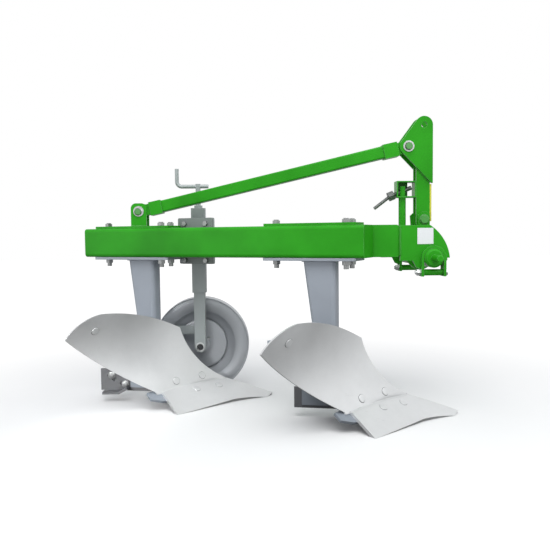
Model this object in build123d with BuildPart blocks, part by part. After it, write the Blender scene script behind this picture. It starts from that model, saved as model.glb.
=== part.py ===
"""Two-furrow mounted plough, in millimetres.

+X is the direction of travel, +Z is up and z = 0 is the ground that the plough is parked on.
The origin is the middle of the whole plough in plan. The furrow slices are turned to the
right, which is -Y.
"""
import os
from math import atan2, cos, degrees, hypot, radians, sin, sqrt, tan

from build123d import *

os.makedirs("parts", exist_ok=True)


def save(part, name):
    """Label a finished piece and write its STEP file."""
    part.label = name
    export_step(part, f"parts/{name}.step")


# Clearances
board_gap = 0.3
side_gap = 0.3
slide_gap = 0.5
shaft_gap = 0.5
wheel_fit = 0.08
pin_fit = 0.1

# Furrows: the rear body runs one furrow to the left and one pitch behind the front one
furrow_width = 290
body_pitch = 598
beam_turn = degrees(atan2(furrow_width, body_pitch))
heel_x = 317.3
heel_y = -309.3
# name, x and y of the share's heel, and how far the landside reaches behind it
bodies = (
    ("front", heel_x, heel_y, 219),
    ("rear", heel_x - body_pitch, heel_y + furrow_width, 300),
)

# Share, seen square on its own sloping face: p runs along the cutting edge, w up the face
share_turn = 37.2
share_slope = 31
share_thickness = 10
edge_middle = (120, 10)
edge_crest = (236, 21)
edge_dip = (306, 15)
nose_start_p = 370
nose_p = 407
nose_w = 17
nose_back_p = 345
nose_back_w = 72
# Joint between share and mouldboard: distance along the edge and distance up the face
joint = ((0, 114), (158, 133), (272, 130))

# Mouldboard: a ruled sheet between two arcs, standing on the share's joint
board_thickness = 7
board_front_p = 300
board_wing_p = -360
# distance behind the cutting edge and height, at the foot, the middle and the top of each arc
front_arc = ((97, 40), (156, 180), (215, 360))
wing_arc = ((92, 40), (124, 200), (28, 360))
# outline seen square to the cutting edge: p and height
wing_tip = (-326, 267)
wing_shoulder = (-289, 313)
board_top = (-215, 342)
board_crest = (-60, 322)
shin_top = (109, 261)
shin_middle = (180, 132)
lower_middle = (-174, 153)
notch_p = -20

# Landside and the adjustable heel behind the rear one
landside_y = 250
landside_thickness = 12
landside_rear_z = 33
landside_height = 66
landside_front_x = 78
landside_front_z = 16
heel_rear_x = -300
heel_plate_length = 98
heel_skid_length = 102
heel_bottom = 27
heel_height = 85
heel_slots = ((-262, 81), (-219, 54))
heel_skid_inset = 12
heel_plate_thickness = 10
heel_skid_width = 50
heel_skid_thickness = 8

# Frog: the welded carrier behind each body
frog_plate = 12
web_rear_x = -195
rib_thickness = 8
seat_thickness = 9
frog_top = 236
foot_plate_length = 128
foot_plate_width = 96

# Leg and its clamp on the beam
leg_x = -133
leg_y = 213
leg_head_width = 107
leg_foot_width = 70
leg_depth = 50
leg_wall = 8
leg_corner = 14
flange_length = 307
flange_width = 98
flange_thickness = 9
flange_shift = 26
clamp_thickness = 8
clamp_bolt_radius = 8
clamp_bolt_row = 29
clamp_bolt_front = -92
clamp_bolt_rear = 152
clamp_nut = 13
stay_height = 36
stay_thickness = 8
stay_z = 262

# Main beam, square tube with welded ends
beam_size = 100
beam_wall = 8
beam_corner = 12
beam_bottom = 512
beam_length = 1037
beam_front_x = 5
beam_front_y = 141
cap_thickness = 6

# Cross member, headstock base and the plates that hold the cross-shaft
cross_rear_x = 10
cross_width = 100
cross_right_y = 190
cross_left_y = 540
gusset_run = 150
gusset_thickness = 10
gusset_inset = 16
quadrant_thickness = 12
quadrant_right_y = 186
strap_spacing = 327
quadrant_nose_x = 265
quadrant_top_x = 203
quadrant_low_z = 500
quadrant_foot_z = 474

# Cross-shaft with its lower-link pins
shaft_x = 212
shaft_z = 508
shaft_radius = 30
shaft_right_y = 165
shaft_length = 500
link_pin_radius = 11
link_pin_length = 65
linchpin_radius = 4.5
linchpin_inset = 13
strap_thickness = 8
strap_width = 40
strap_leg = 57
spacer_radius = 10
spacer_drop = 45
strap_bolt_radius = 6

# Headstock and top strut
headstock_y = 352
link_gap = 45
headstock_plate = 8
arm_width = 45
arm_x = 216
arm_foot_z = 611
arm_top_z = 900
foot_bolt_z = 631
foot_bolt_radius = 9
base_rear_x = 180
base_width = 38
base_thickness = 14
base_z = 584
lug_reach = 25
lug_front_x = 237
right_lug_x = 197
left_lug_x = 184
top_link_x = 218
top_link_z = 938
top_link_radius = 9.75
head_round = 28.5
head_low_z = 749
head_corner = 4
strut_bolt_x = 167
strut_bolt_z = 869
strut_bolt_radius = 9
washer_thickness = 3
head_thickness = 8
strut_rear_x = -743
strut_rear_y = 506
strut_rear_z = 671
strut_size = 40
strut_wall = 4
sleeve_height = 47
sleeve_width = 54
sleeve_wall = 5
eye_height = 38
eye_thickness = 8
front_sleeve = (34, 82)
rear_sleeve = (38, 80)
lug_width = 54
lug_rise = 28

# Depth wheel, its post and its bracket
wheel_x = -545
wheel_y = 655
wheel_radius = 177
wheel_width = 64
wheel_wall = 5
crown_arc = ((3, 173), (1, 150), (9, 126))
hollow_arc = ((9, 126), (32, 104), (42, 76))
hub_radius = 30
hub_length = 78
axle_radius = 15
post_size = 40
post_y = 585
post_wall = 4
post_foot = 21
post_top_z = 500
sleeve_size = 50
sleeve_bottom = 377
sleeve_top = 684
bracket_middle = 638
bracket_width = 138
bracket_bottom = 486
bracket_top = 646
bracket_plate = 8
pad_notch = 16
bracket_bolt_reach = 42
bracket_bolt_rise = 64
bracket_bolt_radius = 6
bracket_head = 9
bracket_shelves = (524, 590)
shelf_thickness = 10
shelf_front = 600
shelf_rear = 726
shelf_reach = 198
scraper_height = 30
scraper_thickness = 6
scraper_z = 236
scraper_gap = 6

# Crank on the depth post
crank_radius = 7
spindle_radius = 9
spindle_rise = 88
crank_rear = 76
crank_front = 38
crank_grip = 64
crank_bend = 18

# Levelling lever on the cross-shaft, the yoke behind the arms and its screw
lever_x = 152
lever_radius = 12
lever_top_z = 740
lever_fork_z = 705
lever_fork_gap = 16
lever_foot_z = 552
lever_plate = 12
collar_radius = 44
yoke_rear = 130
yoke_bottom = 703
yoke_height = 54
yoke_near = 23
yoke_far = 24
yoke_wall = 4
yoke_slot_front = 189.5
yoke_slot_half = 17
yoke_back_length = 44
screw_radius = 7
screw_angle = 22
screw_z = 724
screw_reach = 32
screw_collar_start = 31
screw_collar_radius = 17
screw_collar_length = 19
screw_crank_radius = 5.5
screw_crank_angle = 37
screw_crank_length = 66

# Directions and planes shared by the pieces of a body, all from the share's heel
edge = Vector(cos(radians(share_turn)), sin(radians(share_turn)), 0)
back = Vector(-sin(radians(share_turn)), cos(radians(share_turn)), 0)
face_normal = Vector(0, 0, cos(radians(share_slope))) - back * sin(radians(share_slope))
share_plane = Plane(origin=(0, 0, 0), x_dir=edge, z_dir=face_normal)
outline_plane = Plane(origin=(0, 0, 0), x_dir=edge, z_dir=back * -1)
joint_z = joint[0][1] * sin(radians(share_slope))


def board_sheet(near, far):
    """Ruled solid along the mouldboard, from near to far behind its working face."""
    with BuildPart() as sheet:
        for p, arc in ((board_wing_p, wing_arc), (board_front_p, front_arc)):
            front = [(s + near, z) for s, z in arc]
            rear = [(s + far, z) for s, z in arc]
            with BuildSketch(Plane(origin=edge * p, x_dir=back, z_dir=edge)):
                with BuildLine():
                    ThreePointArc(*front)
                    Line(front[2], rear[2])
                    ThreePointArc(*rear)
                    Line(rear[0], front[0])
                make_face()
        loft(ruled=True)
    return sheet.part


# Share: a flat plate with a slightly hollow cutting edge, ground flat where it meets the soil
with BuildPart() as share:
    with BuildSketch(share_plane):
        with BuildLine():
            ThreePointArc((0, 0), edge_middle, edge_crest)
            ThreePointArc(edge_crest, edge_dip, (nose_start_p, 0))
            Line((nose_start_p, 0), (nose_p, nose_w))
            ThreePointArc((nose_p, nose_w), (nose_back_p, nose_back_w), joint[2])
            ThreePointArc(joint[2], joint[1], joint[0])
            Line(joint[0], (0, 0))
        make_face()
    extrude(amount=-share_thickness)
    with BuildSketch(Plane.XY):
        Rectangle(4 * nose_p, 4 * nose_p)
    extrude(amount=-2 * share_thickness, mode=Mode.SUBTRACT)

# Mouldboard: the ruled sheet trimmed to its outline and to the share's upper edge
with BuildPart() as mouldboard:
    add(board_sheet(0, board_thickness))
    with BuildSketch(outline_plane):
        with BuildLine():
            ThreePointArc(wing_tip, wing_shoulder, board_top)
            ThreePointArc(board_top, board_crest, shin_top)
            ThreePointArc(shin_top, shin_middle, (joint[2][0], joint_z + 8))
            Polyline(
                (joint[2][0], joint_z + 8),
                (joint[2][0], joint_z - 12),
                (notch_p, joint_z - 12),
                (notch_p, joint_z),
            )
            ThreePointArc((notch_p, joint_z), lower_middle, wing_tip)
        make_face()
    extrude(amount=500, both=True, mode=Mode.INTERSECT)
    with BuildSketch(share_plane):
        with BuildLine():
            seam = [(p, w + board_gap) for p, w in joint]
            ThreePointArc(*seam)
            Polyline(seam[2], (seam[2][0] + 60, seam[2][1]), (seam[2][0] + 60, 0), (-60, 0))
            Polyline((-60, 0), (-60, seam[0][1]), seam[0])
        make_face()
    extrude(amount=40, both=True, mode=Mode.SUBTRACT)

# Landside: the bar that slides along the furrow wall
web_y = landside_y - landside_thickness
landside_top = landside_rear_z + landside_height
landsides = {}
for name, x, y, reach in bodies:
    with BuildPart() as landside:
        with BuildSketch(Plane.XZ.offset(-landside_y)):
            with BuildLine():
                Polyline(
                    (-reach, landside_rear_z),
                    (-reach, landside_top),
                    (landside_front_x - 45, landside_top - 4),
                    (landside_front_x, landside_front_z + 42),
                    (landside_front_x, landside_front_z),
                    close=True,
                )
            make_face()
        extrude(amount=landside_thickness)
    landsides[name] = landside.part

# Leg position: its long side and the flange above it lie along the beam
beam_axis = Plane(origin=(leg_x, leg_y, 0), x_dir=(-body_pitch, furrow_width, 0), z_dir=(0, 0, 1))

# Frog: upright web, ribs, the seats behind mouldboard and share, and the plate under the leg
with BuildPart() as frog:
    with BuildSketch(Plane.XZ.offset(-web_y)):
        with BuildLine():
            Polyline(
                (web_rear_x, landside_rear_z + 10),
                (web_rear_x, frog_top - frog_plate),
                (-75, frog_top - frog_plate),
                (-20, 190),
                (56, 104),
                (80, 70),
                (80, 30),
                close=True,
            )
        make_face()
    extrude(amount=frog_plate)
    # height of each rib's underside and its corners in plan
    ribs = (
        (44, ((-110, 227), (70, 227), (12, 146), (-68, 82))),
        (104, ((-190, 227), (40, 227), (-20, 96), (-120, 96))),
        (180, ((-150, 227), (-14, 227), (-40, 110), (-110, 110))),
    )
    for rib_z, corners in ribs:
        with BuildSketch(Plane.XY.offset(rib_z)):
            with BuildLine():
                Polyline(*corners, close=True)
            make_face()
        extrude(amount=rib_thickness)
    with BuildSketch(beam_axis.offset(frog_top - frog_plate)):
        RectangleRounded(foot_plate_length, foot_plate_width, leg_corner)
    extrude(amount=frog_plate)
    add(board_sheet(-300, board_thickness + board_gap + seat_thickness / 2), mode=Mode.SUBTRACT)
seat_near = board_thickness + board_gap
with BuildPart() as board_seat:
    add(board_sheet(seat_near, seat_near + seat_thickness))
    with BuildSketch(outline_plane):
        with BuildLine():
            Polyline(
                (-48, 96), (-20, 200), (96, 232), (150, 140), (196, 92), (60, 72), (-20, 72), close=True
            )
        make_face()
    extrude(amount=500, both=True, mode=Mode.INTERSECT)
with BuildPart() as share_seat:
    with BuildSketch(share_plane.offset(-share_thickness)):
        with BuildLine():
            Polyline((-48, 100), (-12, 82), (228, 48), (214, 118), (170, 160), (-48, 132), close=True)
        make_face()
    extrude(amount=-seat_thickness)
frog_solid = frog.part + board_seat.part + (share_seat.part - mouldboard.part)

# Leg: a hollow pressed box, tapered at the rear, with the flange that is bolted under the beam
flange_z = beam_bottom - flange_thickness
bolt_places = [
    (clamp_bolt_front, -clamp_bolt_row),
    (clamp_bolt_front, clamp_bolt_row),
    (clamp_bolt_rear, 0),
]
with BuildPart() as leg:
    for inset, mode in ((0, Mode.ADD), (leg_wall, Mode.SUBTRACT)):
        # height and width; the front edge stays upright
        for z, width in ((frog_top, leg_foot_width), (flange_z, leg_head_width)):
            with BuildSketch(beam_axis.offset(z)):
                with Locations(((width - leg_head_width) / 2, 0)):
                    RectangleRounded(width - 2 * inset, leg_depth - 2 * inset, leg_corner - inset)
        loft(ruled=True, mode=mode)
    with BuildSketch(beam_axis.offset(flange_z)):
        with Locations((flange_shift, 0)):
            RectangleRounded(flange_length, flange_width, 6)
        with Locations(*bolt_places):
            Circle(clamp_bolt_radius + pin_fit, mode=Mode.SUBTRACT)
    extrude(amount=flange_thickness)

# Clamp plate on top of the beam, above the leg
beam_top = beam_bottom + beam_size
with BuildPart() as clamp:
    with BuildSketch(beam_axis.offset(beam_top)):
        with Locations((flange_shift, 0)):
            RectangleRounded(flange_length, flange_width - 12, 6)
        with Locations(*bolt_places):
            Circle(clamp_bolt_radius + pin_fit, mode=Mode.SUBTRACT)
    extrude(amount=clamp_thickness)

# Stay: a bent flat bar from the leg to the back of the wing
leg_face = beam_axis.location * Pos(0, leg_depth / 2 + stay_thickness / 2, 0)
foot_front = (leg_face * Pos(-26, 0, 0)).position
foot_rear = (leg_face * Pos(26, 0, 0)).position
wing_end = edge * -232 + back * 134
wing_flat = edge * -285 + back * 128
with BuildPart() as stay:
    with BuildSketch(Plane.XY.offset(stay_z)):
        with BuildLine():
            Polyline(
                (foot_front.X, foot_front.Y),
                (foot_rear.X, foot_rear.Y),
                (wing_end.X, wing_end.Y),
                (wing_flat.X, wing_flat.Y),
            )
        trace(line_width=stay_thickness)
    extrude(amount=stay_height)
    add(board_sheet(-300, seat_near), mode=Mode.SUBTRACT)

for name, x, y, reach in bodies:
    for piece, solid in (
        ("mouldboard", mouldboard.part),
        ("share", share.part),
        ("landside", landsides[name]),
        ("frog", frog_solid),
        ("leg", leg.part),
        ("clamp_plate", clamp.part),
        ("stay", stay.part),
    ):
        save(Pos(x, y, 0) * solid, f"{name}_{piece}")

# Adjustable heel behind the rear landside: a slotted plate on a skid with a turned-up toe
plate_front_x = heel_rear_x + heel_plate_length
toe_x = heel_rear_x + heel_skid_length
skid_top = heel_bottom + heel_skid_thickness
with BuildPart() as heel:
    with BuildSketch(Plane.XZ.offset(-web_y)):
        with BuildLine():
            Polyline(
                (heel_rear_x, skid_top),
                (heel_rear_x, heel_bottom + heel_height),
                (plate_front_x, heel_bottom + heel_height),
                (plate_front_x, skid_top + 12),
                (plate_front_x - 30, skid_top),
                close=True,
            )
        make_face()
        for place in heel_slots:
            with Locations(place):
                SlotOverall(34, 14, rotation=-35, mode=Mode.SUBTRACT)
    extrude(amount=heel_plate_thickness)
    with BuildSketch(Plane.XZ.offset(-web_y)):
        with BuildLine():
            Polyline(
                (heel_rear_x + heel_skid_inset, heel_bottom),
                (toe_x - 32, heel_bottom),
                (toe_x, heel_bottom + 16),
                (toe_x - 5, heel_bottom + 23),
                (toe_x - 35, skid_top),
                (heel_rear_x + heel_skid_inset, skid_top),
                close=True,
            )
        make_face()
    extrude(amount=heel_skid_width)
save(Pos(bodies[1][1], bodies[1][2], 0) * heel.part, "rear_heel")

# Main beam: it runs back and to the left from its front end
beam_middle = beam_bottom + beam_size / 2
beam_start = Vector(heel_x + beam_front_x, heel_y + beam_front_y, beam_middle)
beam_dir = Vector(-cos(radians(beam_turn)), sin(radians(beam_turn)), 0)
beam_plane = Plane(origin=beam_start, x_dir=(0, 0, 1), z_dir=beam_dir)
clamp_planes = [
    Plane(origin=(x + leg_x, y + leg_y, 0), x_dir=(-body_pitch, furrow_width, 0), z_dir=(0, 0, 1))
    for name, x, y, reach in bodies
]
with BuildPart() as main_beam:
    with BuildSketch(beam_plane):
        RectangleRounded(beam_size, beam_size, beam_corner)
    extrude(amount=beam_length)
    with BuildSketch(beam_plane.offset(cap_thickness)):
        RectangleRounded(beam_size - 2 * beam_wall, beam_size - 2 * beam_wall, beam_corner - beam_wall)
    extrude(amount=beam_length - 2 * cap_thickness, mode=Mode.SUBTRACT)
    for plane in clamp_planes:
        with BuildSketch(plane.offset(beam_bottom)):
            with Locations(*bolt_places):
                Circle(clamp_bolt_radius + pin_fit)
        extrude(amount=beam_size, mode=Mode.SUBTRACT)
save(main_beam.part, "main_beam")

# Wheel bracket's two plates on the beam's far side: x runs back along the beam, y upwards
bracket_side = Plane(
    origin=beam_start + beam_dir * bracket_middle + beam_plane.y_dir * (beam_size / 2),
    x_dir=beam_dir,
    z_dir=beam_plane.y_dir,
)
plate_middle = (bracket_bottom + bracket_top) / 2 - beam_middle
side_bolts = [
    (reach, rise)
    for reach in (-bracket_bolt_reach, bracket_bolt_reach)
    for rise in (-bracket_bolt_rise, bracket_bolt_rise)
]
# Bolts down through the beam at each leg, and the four that hold the wheel bracket on its pad
with BuildPart() as clamp_bolts:
    for plane in clamp_planes:
        with BuildSketch(plane.offset(beam_bottom - flange_thickness - clamp_nut - 12)):
            with Locations(*bolt_places):
                Circle(clamp_bolt_radius)
        extrude(amount=beam_size + flange_thickness + clamp_thickness + 2 * clamp_nut + 12)
        for nut_z, amount in (
            (beam_bottom - flange_thickness, -clamp_nut),
            (beam_top + clamp_thickness, clamp_nut - 3),
        ):
            with BuildSketch(plane.offset(nut_z)):
                with Locations(*bolt_places):
                    RegularPolygon(clamp_nut, 6)
            extrude(amount=amount)
    with BuildSketch(bracket_side):
        with Locations(*side_bolts):
            Circle(bracket_bolt_radius)
    extrude(amount=2 * bracket_plate + bracket_head + 5)
    for start, amount in ((0, -bracket_head + 2), (2 * bracket_plate, bracket_head)):
        with BuildSketch(bracket_side.offset(start)):
            with Locations(*side_bolts):
                RegularPolygon(bracket_head, 6)
        extrude(amount=amount)
save(clamp_bolts.part, "clamp_bolts")

# Cross member behind the cross-shaft, closed at both ends
cross_x = heel_x + cross_rear_x + cross_width / 2
cross_start = heel_y + cross_right_y
cross_length = cross_left_y - cross_right_y
with BuildPart() as cross_member:
    with BuildSketch(Plane.XZ.offset(-cross_start)):
        with Locations((cross_x, beam_middle)):
            RectangleRounded(cross_width, beam_size, beam_corner)
    extrude(amount=-cross_length)
    with BuildSketch(Plane.XZ.offset(-cross_start - cap_thickness)):
        with Locations((cross_x, beam_middle)):
            RectangleRounded(
                cross_width - 2 * beam_wall, beam_size - 2 * beam_wall, beam_corner - beam_wall
            )
    extrude(amount=-cross_length + 2 * cap_thickness, mode=Mode.SUBTRACT)
    with BuildSketch(beam_plane.offset(-1)):
        Rectangle(beam_size, beam_size + 0.6)
    extrude(amount=beam_length, mode=Mode.SUBTRACT)
save(cross_member.part, "cross_member")

# Gussets in the corner between the beam and the cross member, one above and one below
beam_side = beam_start + Vector(sin(radians(beam_turn)), cos(radians(beam_turn)), 0) * (beam_size / 2)
cross_back_x = cross_x - cross_width / 2
corner_y = beam_side.Y + (beam_side.X - cross_back_x) * tan(radians(beam_turn))
gusset_tip = Vector(cross_back_x, corner_y, 0) + beam_dir * gusset_run
with BuildPart() as gussets:
    for gusset_z in (
        beam_bottom + gusset_inset,
        beam_top - gusset_inset - gusset_thickness,
    ):
        with BuildSketch(Plane.XY.offset(gusset_z)):
            with BuildLine():
                Polyline(
                    (cross_back_x, corner_y),
                    (cross_back_x, corner_y + gusset_run),
                    (gusset_tip.X, gusset_tip.Y),
                    close=True,
                )
            make_face()
        extrude(amount=gusset_thickness)
save(gussets.part, "corner_gussets")

# Quadrant plates in front of the cross member, each notched for the strap over the shaft
shaft_at_x = heel_x + shaft_x
strap_inner = shaft_radius + shaft_gap
strap_outer = strap_inner + strap_thickness
plate_rear_x = cross_x + cross_width / 2
quadrant_top_z = beam_top - 2
nose_x = heel_x + quadrant_nose_x
spacer_z = shaft_z - spacer_drop
left_side_y = heel_y + quadrant_right_y + strap_spacing - quadrant_thickness
sides = (("right", heel_y + quadrant_right_y), ("left", left_side_y))
for side, side_y in sides:
    with BuildPart() as quadrant:
        with BuildSketch(Plane.XZ.offset(-side_y)):
            with BuildLine():
                ThreePointArc(
                    (heel_x + quadrant_top_x, quadrant_top_z),
                    (nose_x - 16, quadrant_top_z - 50),
                    (nose_x, shaft_z),
                )
                Polyline(
                    (nose_x, shaft_z),
                    (nose_x - 8, shaft_z),
                    (nose_x - 8, quadrant_low_z),
                    (shaft_at_x - strap_outer, quadrant_foot_z),
                    (shaft_at_x - strap_outer - 14, quadrant_foot_z + 6),
                    (shaft_at_x - strap_outer - 24, quadrant_low_z),
                    (plate_rear_x, quadrant_low_z),
                    (plate_rear_x, quadrant_top_z),
                    (heel_x + quadrant_top_x, quadrant_top_z),
                )
            make_face()
            with Locations((shaft_at_x, shaft_z)):
                Circle(strap_outer, mode=Mode.SUBTRACT)
            with Locations((shaft_at_x, shaft_z - strap_outer / 2)):
                Rectangle(2 * strap_outer, strap_outer, mode=Mode.SUBTRACT)
        extrude(amount=-quadrant_thickness)
    save(quadrant.part, f"{side}_quadrant_plate")

    # Saddle strap: a flat bar bent over the shaft, its legs hanging past it
    strap_y = side_y + quadrant_thickness / 2 - strap_width / 2
    with BuildPart() as strap:
        with BuildSketch(Plane.XZ.offset(-strap_y)):
            for half_width, mode in ((strap_outer, Mode.ADD), (strap_inner, Mode.SUBTRACT)):
                with Locations((shaft_at_x, shaft_z)):
                    Circle(half_width, mode=mode)
                with Locations((shaft_at_x, shaft_z - strap_leg / 2)):
                    Rectangle(2 * half_width, strap_leg, mode=mode)
        extrude(amount=-strap_width)
        with BuildSketch(Plane.YZ.offset(shaft_at_x - strap_outer)):
            with Locations((side_y + quadrant_thickness / 2, spacer_z)):
                Circle(strap_bolt_radius + pin_fit)
        extrude(amount=2 * strap_outer, mode=Mode.SUBTRACT)
    save(strap.part, f"{side}_saddle_strap")

# Spacer tubes between the strap legs, and the bolts through them
with BuildPart() as spacers:
    with BuildSketch(Plane.YZ.offset(shaft_at_x - strap_inner)):
        for side, side_y in sides:
            with Locations((side_y + quadrant_thickness / 2, spacer_z)):
                Circle(spacer_radius)
                Circle(strap_bolt_radius + pin_fit, mode=Mode.SUBTRACT)
    extrude(amount=2 * strap_inner)
save(spacers.part, "strap_spacers")
with BuildPart() as strap_bolts:
    for side, side_y in sides:
        bolt_y = side_y + quadrant_thickness / 2
        with BuildSketch(Plane.YZ.offset(shaft_at_x - strap_outer - 16)):
            with Locations((bolt_y, spacer_z)):
                Circle(strap_bolt_radius)
        extrude(amount=2 * strap_outer + 24)
        for nut_x, amount in ((shaft_at_x - strap_outer, -11), (shaft_at_x + strap_outer, 8)):
            with BuildSketch(Plane.YZ.offset(nut_x)):
                with Locations((bolt_y, spacer_z)):
                    RegularPolygon(11, 6)
            extrude(amount=amount)
save(strap_bolts.part, "strap_bolts")

# Headstock base: a cross plate between the quadrant plates with a lug outside each arm
right_inner_y = sides[0][1] + quadrant_thickness
base_span = sides[1][1] - right_inner_y
base_x = heel_x + base_rear_x
foot_x = heel_x + top_link_x
head_y = heel_y + headstock_y
half_gap = link_gap / 2
base_top = base_z + base_thickness
with BuildPart() as base:
    with BuildSketch(Plane.XY.offset(base_z)):
        with Locations((base_x + base_width / 2, right_inner_y + base_span / 2)):
            Rectangle(base_width, base_span)
    extrude(amount=base_thickness)
    # inner face of each lug, its thickness outwards and its rear end
    for lug_y, depth, lug_x in (
        (head_y - half_gap, headstock_plate, heel_x + right_lug_x),
        (head_y + half_gap, -headstock_plate, heel_x + left_lug_x),
    ):
        with BuildSketch(Plane.XZ.offset(-lug_y)):
            with BuildLine():
                Polyline(
                    (lug_x + 4, base_top - 4),
                    (lug_x, foot_bolt_z + lug_reach / 2),
                    (lug_x + 14, foot_bolt_z + lug_reach),
                    (heel_x + lug_front_x - 10, foot_bolt_z + lug_reach),
                    (heel_x + lug_front_x, foot_bolt_z + lug_reach / 2),
                    (heel_x + lug_front_x, base_top - 4),
                    close=True,
                )
            make_face()
            with Locations((foot_x, foot_bolt_z)):
                Circle(foot_bolt_radius + pin_fit, mode=Mode.SUBTRACT)
        extrude(amount=depth)
save(base.part, "headstock_base")

# Upright arms between the lugs and, welded outside them, the plates for the top link
head_sides = (("right", head_y - half_gap, 1), ("left", head_y + half_gap, -1))
strut_bolt_at = (heel_x + strut_bolt_x, strut_bolt_z)
for side, face_y, sign in head_sides:
    with BuildPart() as arm:
        with BuildSketch(Plane.XZ.offset(-face_y)):
            with Locations((heel_x + arm_x, (arm_foot_z + arm_top_z) / 2)):
                RectangleRounded(arm_width, arm_top_z - arm_foot_z, 6)
            with Locations((foot_x, foot_bolt_z)):
                Circle(foot_bolt_radius + pin_fit, mode=Mode.SUBTRACT)
        extrude(amount=-sign * headstock_plate)
    save(arm.part, f"{side}_headstock_arm")

    with BuildPart() as top_plate:
        with BuildSketch(Plane.XZ.offset(-face_y)):
            with Locations((foot_x, top_link_z), strut_bolt_at):
                Circle(head_round)
            with Locations((foot_x + head_round - head_corner / 2, head_low_z + head_corner / 2)):
                Rectangle(head_corner, head_corner)
            make_hull()
            with Locations((foot_x, top_link_z)):
                Circle(top_link_radius, mode=Mode.SUBTRACT)
            with Locations(strut_bolt_at):
                Circle(strut_bolt_radius + pin_fit, mode=Mode.SUBTRACT)
        extrude(amount=sign * headstock_plate)
    save(top_plate.part, f"{side}_top_plate")

# Top strut: a square tube in two sleeves with eyes, drawn in its own sloping direction
rear_bolt_at = (heel_x + strut_rear_x, strut_rear_z)
strut_run = strut_bolt_at[0] - rear_bolt_at[0]
strut_rise = strut_bolt_at[1] - rear_bolt_at[1]
strut_reach = hypot(strut_run, strut_rise)
rear_y = heel_y + strut_rear_y
slope_dir = Vector(strut_run, 0, strut_rise).normalized()
eye_width = link_gap - 2 * side_gap
tube_front = Vector(strut_bolt_at[0], head_y, strut_bolt_at[1]) - slope_dir * front_sleeve[1]
tube_rear = Vector(rear_bolt_at[0], rear_y, rear_bolt_at[1]) + slope_dir * rear_sleeve[1]
tube_dir = (tube_front - tube_rear).normalized()
tube_overlap = sleeve_wall - 1
with BuildPart() as strut:
    # y of each eye, its bolt's place along the strut, the way to the tube and its sleeve's ends
    for eye_y, bolt_along, inward, (near, far) in (
        (rear_y, 0, 1, rear_sleeve),
        (head_y, strut_reach, -1, front_sleeve),
    ):
        eye_plane = Plane(
            origin=(rear_bolt_at[0], eye_y, rear_bolt_at[1]), x_dir=slope_dir, z_dir=(0, -1, 0)
        )
        for start in (-eye_width / 2, eye_width / 2 - eye_thickness):
            with BuildSketch(eye_plane.offset(start)):
                with Locations((bolt_along, 0)):
                    Circle(eye_height / 2)
                with Locations((bolt_along + inward * (near + 1) / 2, 0)):
                    Rectangle(near + 1, eye_height)
            extrude(amount=eye_thickness)
        middle = bolt_along + inward * (near + far) / 2
        for inset, mode in ((0, Mode.ADD), (sleeve_wall, Mode.SUBTRACT)):
            with BuildSketch(eye_plane.offset(inset - sleeve_width / 2)):
                with Locations((middle, 0)):
                    Rectangle(far - near - 2 * inset, sleeve_height - 2 * inset)
            extrude(amount=sleeve_width - 2 * inset, mode=mode)
    tube_plane = Plane(origin=tube_rear - tube_dir * tube_overlap, x_dir=(0, 0, 1), z_dir=tube_dir)
    with BuildSketch(tube_plane):
        RectangleRounded(strut_size, strut_size, 5)
        Rectangle(strut_size - 2 * strut_wall, strut_size - 2 * strut_wall, mode=Mode.SUBTRACT)
    extrude(amount=(tube_front - tube_rear).length + 2 * tube_overlap)
    for bolt_at, bolt_y in ((rear_bolt_at, rear_y), (strut_bolt_at, head_y)):
        with BuildSketch(Plane.XZ.offset(-bolt_y)):
            with Locations(bolt_at):
                Circle(strut_bolt_radius + pin_fit)
        extrude(amount=link_gap, both=True, mode=Mode.SUBTRACT)
save(strut.part, "top_strut")

# Lugs for the strut's rear end, standing on the rear clamp plate
lug_foot = beam_top + clamp_thickness
lug_top = strut_rear_z + lug_rise
with BuildPart() as lugs:
    for lug_y, depth in ((rear_y - half_gap, headstock_plate), (rear_y + half_gap, -headstock_plate)):
        with BuildSketch(Plane.XZ.offset(-lug_y)):
            with Locations((rear_bolt_at[0], (lug_foot + lug_top) / 2)):
                Rectangle(lug_width, lug_top - lug_foot)
            fillet(vertices().group_by(Axis.Y)[-1], lug_width / 3)
            with Locations(rear_bolt_at):
                Circle(strut_bolt_radius + pin_fit, mode=Mode.SUBTRACT)
        extrude(amount=depth)
save(lugs.part, "strut_lugs")

# Bolts across the headstock and the strut, each with a head, a nut and washers
# name, places, and radius of washers and heads
cross_bolts = (
    ("strut_bolts", ((rear_bolt_at, rear_y), (strut_bolt_at, head_y)), 18, 12),
    ("headstock_foot_bolt", (((foot_x, foot_bolt_z), head_y),), 16, 14.5),
)
bolt_half = half_gap + headstock_plate
for name, places, washer_radius, head_radius in cross_bolts:
    with BuildPart() as bolts:
        for bolt_at, bolt_y in places:
            for sign in (-1, 1):
                with BuildSketch(Plane.XZ.offset(-bolt_y)):
                    with Locations(bolt_at):
                        Circle(strut_bolt_radius)
                extrude(amount=-sign * (bolt_half + washer_thickness + head_thickness))
                with BuildSketch(Plane.XZ.offset(-bolt_y - sign * bolt_half)):
                    with Locations(bolt_at):
                        Circle(washer_radius)
                extrude(amount=-sign * washer_thickness)
                with BuildSketch(Plane.XZ.offset(-bolt_y - sign * (bolt_half + washer_thickness))):
                    with Locations(bolt_at):
                        RegularPolygon(head_radius, 6)
                extrude(amount=-sign * head_thickness)
    save(bolts.part, name)

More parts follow.
